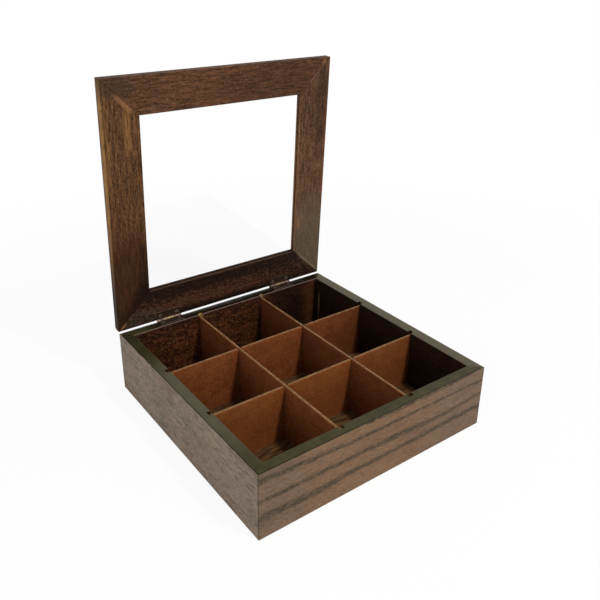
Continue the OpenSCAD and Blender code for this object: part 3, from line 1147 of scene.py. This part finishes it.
def hinge_leaf(name, low, high, knuckles, cut_away, into):
    """One leaf with its knuckles. cut_away are the stretches of its back edge that make room."""
    head_z = low.z if into > 0 else high.z
    plate = block(name, low, high)
    for start, end in cut_away:
        chop(
            plate,
            (start, AXIS.y - KNUCKLE_R - KNUCKLE_GAP, low.z - OVERCUT),
            (end, high.y + OVERCUT, high.z + OVERCUT),
        )

    def free_corner(edge):
        return abs(span(edge).z) > LEAF_T / 2 and middle(edge).y < low.y + HAIR

    ease(plate, LEAF_CORNER, free_corner, rounds=4)
    ease(plate, LEAF_ARRIS, lambda edge: abs(middle(edge).z - head_z) < HAIR)
    for side in (-1, 1):
        countersink(plate, (low.x + high.x + side * SCREW_SPAN) / 2, head_z, into)
    tubes = [knuckle(start, end, -into) for start, end in knuckles]
    return settle(gather(name, [plate, *tubes]))


# %% Make both pairs of leaves
def is_knuckle(face):
    return face.center.y > AXIS.y - KNUCKLE_R - HAIR


LEAF_END_Y = AXIS.y - BORE_R - NEAR
LEAVES = {"box": (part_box, rim_z, -1, outer_brass), "lid": (closed_box, lid_z, 1, middle_highlight_brass)}
for side in ("left", "right"):
    low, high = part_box(f"{side}_hinge_box_leaf")
    start_x, end_x, middle_x = low.x, high.x, (low.x + high.x) / 2
    mid = (middle_x - MID_KNUCKLE, middle_x + MID_KNUCKLE)
    room = (mid[0] - KNUCKLE_GAP, mid[1] + KNUCKLE_GAP)
    layout = {
        "box": ([(start_x, room[0]), (room[1], end_x)], [room]),
        "lid": ([mid], [(start_x - OVERCUT, mid[0]), (mid[1], end_x + OVERCUT)]),
    }
    for body, (corners_of, low_z, into, knuckle_brass) in LEAVES.items():
        node = f"{side}_hinge_{body}_leaf"
        leaf = hinge_leaf(
            f"{body}_leaf_{side}",
            Vector((start_x, corners_of(node)[0].y, low_z)),
            Vector((end_x, LEAF_END_Y, low_z + LEAF_T)),
            *layout[body],
            into,
        )
        indices = [int(is_knuckle(face)) for face in leaf.data.polygons]
        if body == "lid":
            leaf.data.transform(swing)
        stand_in(leaf, body, "hinge_brass", [leaf_brass, knuckle_brass], node)
        leaf.data.polygons.foreach_set("material_index", indices)

# %% Turn the pins
PIN_ARRIS = 0.3 * MM
for side in ("left", "right"):
    pin_low, pin_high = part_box(f"{side}_hinge_pin")
    pin_r = (pin_high.y - pin_low.y) / 2
    pin = rod(f"pin_{side}", on_axis(pin_low.x), on_axis(pin_high.x), pin_r, 24)
    ease(pin, PIN_ARRIS, rounds=3)
    settle(pin)
    stand_in(pin, "box", "hinge_brass", [outer_brass], f"{side}_hinge_pin")

# %% [markdown]
# ## The screws
# The screws are small countersunk brass ones with a straight slot. One is modelled, head up, from
# a cylinder: its head is a cone with a just rounded rim, and its shank ends in a point. The others
# are copies, and those in the lid are turned over first.


# %% Turn one screw
SCREW_R = 0.9 * MM
SCREW_HEAD_R = 1.7 * MM
SCREW_ARRIS = 0.1 * MM
POINT_LENGTH = 1.6 * MM
TIP_R = 0.2 * MM
DRIVE_W, DRIVE_D = 0.5 * MM, 0.35 * MM
FIRST_TWIST, NEXT_TWIST = math.radians(35), math.radians(50)


def ring_scale(screw, z, factor):
    """Scales the ring of points at a height about the screw's axis."""
    mark(screw, lambda edge: all(abs(v.co.z - z) < MICRON for v in edge.verts))
    bpy.ops.transform.resize(value=(factor, factor, 1), center_override=(0, 0, z))
    put_down()


def screw_blank():
    """A slotted countersunk screw with its head's top at z = 0 and its point at the bottom."""
    screw = rod("screw", (0, 0, -SCREW_LENGTH), (0, 0, 0), SCREW_R)
    for z in (-LEAF_T, POINT_LENGTH - SCREW_LENGTH):
        saw(screw, (0, 0, z), (0, 0, 1), drop=False)
    ring_scale(screw, 0.0, SCREW_HEAD_R / SCREW_R)
    ring_scale(screw, -SCREW_LENGTH, TIP_R / SCREW_R)
    ease(screw, SCREW_ARRIS, lambda edge: middle(edge).z > -HAIR)
    reach = 2 * SCREW_HEAD_R
    chop(screw, (-reach, -DRIVE_W / 2, -DRIVE_D), (reach, DRIVE_W / 2, OVERCUT))
    return settle(screw)


screw = screw_blank()
turned_over = Matrix.Rotation(math.pi, 4, "X")
sets = {"box": [], "lid": []}
for number, x in enumerate(SCREW_XS):
    twist = Matrix.Rotation(FIRST_TWIST + NEXT_TWIST * number, 4, "Z")
    up = Matrix.Translation((x, SCREW_Y, rim_z + LEAF_T)) @ twist
    sets["box"].append(copy_of(screw, f"screw_box_{number}", up))
    over = swing @ Matrix.Translation((x, SCREW_Y, lid_z)) @ turned_over @ twist
    sets["lid"].append(copy_of(screw, f"screw_lid_{number}", over))
bpy.data.objects.remove(screw)
for body, screws in sets.items():
    group = gather(f"screws_{body}", screws)
    stand_in(group, body, "screw_brass", [screw_brass], f"{body}_leaf_screws")

# %% [markdown]
# ## Floor, walls of light and lamps
# A white floor and a white world stand for the studio. Cameras, shiny things and clear glass see
# them as plain white, while the light that they give the box stays soft and low. One small lamp
# above and in front, a little to the right, is the only one that draws firm shadows, and two wide
# dim ones fill the sides.


# %% The floor and the world
FLOOR_SIZE = 6
FLOOR_DROP = 0.05 * MM
FLOOR_SHARE = 0.92
SOFT_LEVEL = 0.42


def seen_plainly(finish):
    """1 for what a camera, a shiny thing or clear glass sees, and 0 for the light that falls."""
    rays = finish.node("ShaderNodeLightPath").socket.node.outputs
    seen = Flow(finish, rays["Is Camera Ray"])
    for kind in ("Is Glossy Ray", "Is Transmission Ray"):
        seen = seen.most(Flow(finish, rays[kind]))
    return seen


def studio_floor():
    """White paper that mostly glows, so that only a trace of the box's shadow shows on it."""
    finish = new_finish("studio floor")
    x, y, _ = finish.axes()
    squared = x * x + y * y
    far = squared.calc("SQRT", squared).fade(0.35, 0.8)
    share = seen_plainly(finish) * (far * (1 - FLOOR_SHARE) + FLOOR_SHARE)
    paper = finish.node("ShaderNodeBsdfDiffuse", {"Color": (0.9, 0.9, 0.9, 1.0)})
    glow = finish.node("ShaderNodeEmission", {"Color": WHITE, "Strength": 1.0})
    mixed = finish.node("ShaderNodeMixShader", {0: share, 1: paper, 2: glow})
    return finish.end("Material", mixed)


def studio_world():
    finish = Finish(bpy.data.worlds.new("studio"))
    colour = {"Color": (0.94, 0.97, 1.0, 1.0), "Strength": SOFT_LEVEL}
    soft = finish.node("ShaderNodeBackground", colour)
    white = finish.node("ShaderNodeBackground", {"Color": WHITE})
    share = seen_plainly(finish)
    mixed = finish.node("ShaderNodeMixShader", {0: share, 1: soft, 2: white})
    return finish.end("World", mixed)


let_go()
bpy.ops.mesh.primitive_plane_add(size=FLOOR_SIZE, location=(0, 0, -FLOOR_DROP))
floor = bpy.context.active_object
floor.name = "floor"
floor.data.materials.append(studio_floor())
bpy.context.scene.world = studio_world()


# %% The lamps
LAMPS_AIM = Vector((0, 0, 60 * MM))


def lamp(name, toward, distance, size, level, colour):
    """An area lamp that points at the box. Level 1 alone lights a facing white card to white."""
    heading = Vector(toward).normalized()
    stand = LAMPS_AIM + heading * distance
    turned = heading.to_track_quat("Z", "Y").to_euler()
    bpy.ops.object.light_add(type="AREA", location=stand, rotation=turned)
    made = bpy.context.active_object
    made.name = name
    made.data.shape = "DISK"
    made.data.size = size
    made.data.energy = level * math.pi**2 * distance**2
    made.data.color = colour
    print(name, round(made.data.energy, 1), "W")


lamp("key lamp", (0.2, -0.75, 1.0), 1.6, 0.16, 0.62, (1.0, 0.97, 0.92))
lamp("left fill", (-1.0, -0.25, 0.35), 1.8, 1.2, 0.30, (0.93, 0.97, 1.0))
lamp("front fill", (0.3, -1.0, 0.25), 2.2, 1.2, 0.14, (1.0, 0.98, 0.95))

bpy.context.scene.view_settings.view_transform = "Standard"
